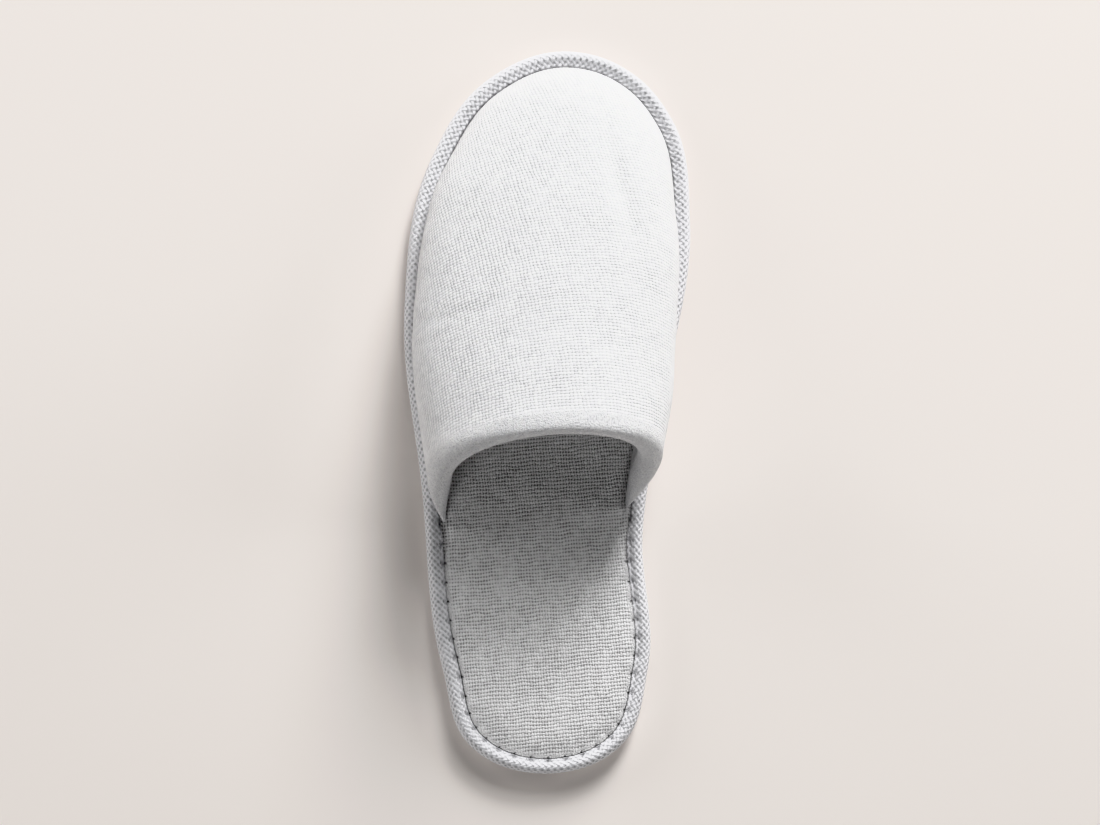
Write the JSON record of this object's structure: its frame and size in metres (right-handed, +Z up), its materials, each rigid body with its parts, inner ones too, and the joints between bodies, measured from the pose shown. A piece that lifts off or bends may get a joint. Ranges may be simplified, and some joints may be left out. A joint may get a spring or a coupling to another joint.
{
  "type": "hotel slipper",
  "caption": "Closed-toe, open-heel hotel slipper for the left foot: flat foam sole, padded footbed, bias tape round the rim and a soft hollow upper with a rolled throat.",
  "frame": {"origin": "on the floor, under the middle of the slipper's bounding box", "axes": "+Z up, +Y from the heel to the toe, +X to the inner (big-toe) side"},
  "size_m": [0.1136, 0.285, 0.0625],
  "materials": {
    "grip_sole": "warm grey non-slip cloth with small white grip dots, on white foam",
    "footbed_cloth": "open plain weave over soft foam, matt",
    "bias_tape": "open weave cut on the bias, matt",
    "upper_cloth": "open plain weave backed with foam, slightly fuzzy, matt"
  },
  "bodies": {
    "root": {"outsole": "grip_sole", "insole": "footbed_cloth", "binding": "bias_tape", "upper": "upper_cloth"}
  },
  "joints": []
}
